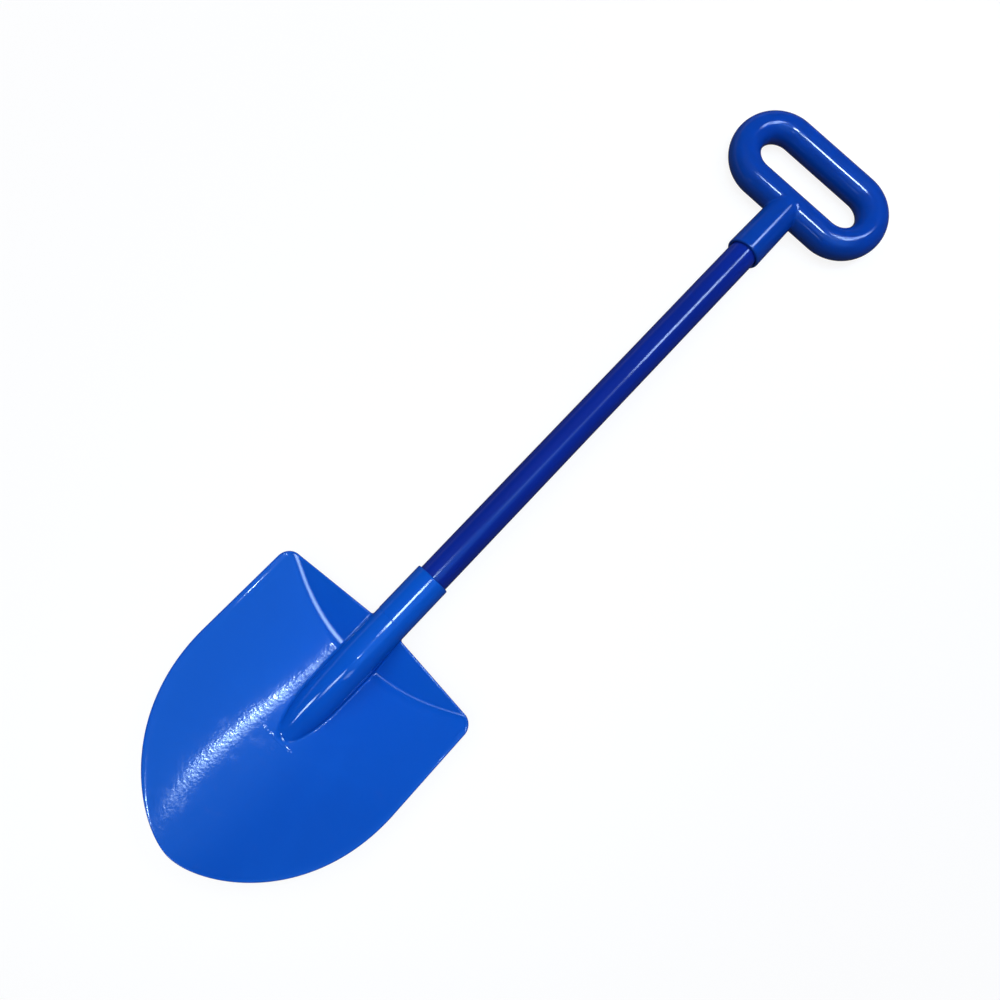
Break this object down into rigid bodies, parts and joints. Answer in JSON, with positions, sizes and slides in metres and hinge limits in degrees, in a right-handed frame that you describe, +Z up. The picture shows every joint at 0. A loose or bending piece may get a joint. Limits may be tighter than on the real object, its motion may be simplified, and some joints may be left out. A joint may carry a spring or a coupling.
{
  "type": "sand shovel",
  "caption": "Child's sand shovel: dished round-point plastic blade with a socket and hollow nose, straight film-coated steel tube shaft and a ring-shaped plastic grip.",
  "frame": {"origin": "on the ground under the middle of the shovel's box, shovel lying on its back with the hollow of the blade facing up", "axes": "+Y along the shovel from the blade tip towards the handle, +Z up out of the hollow of the blade, +X across the blade"},
  "size_m": [0.1556, 0.613, 0.0311],
  "materials": {
    "blade_plastic": "glossy injection-moulded polypropylene, light orange peel",
    "handle_plastic": "glossy moulded polypropylene",
    "shaft_film": "high-gloss plastic film",
    "tube_steel": "bare drawn steel inside the tube",
    "screw_steel": "bright zinc plate"
  },
  "bodies": {
    "root": {"blade": "blade_plastic", "shaft_tube": "tube_steel", "shaft_film": "shaft_film", "handle": "handle_plastic", "blade_screw": "screw_steel", "handle_screw": "screw_steel"}
  },
  "joints": []
}
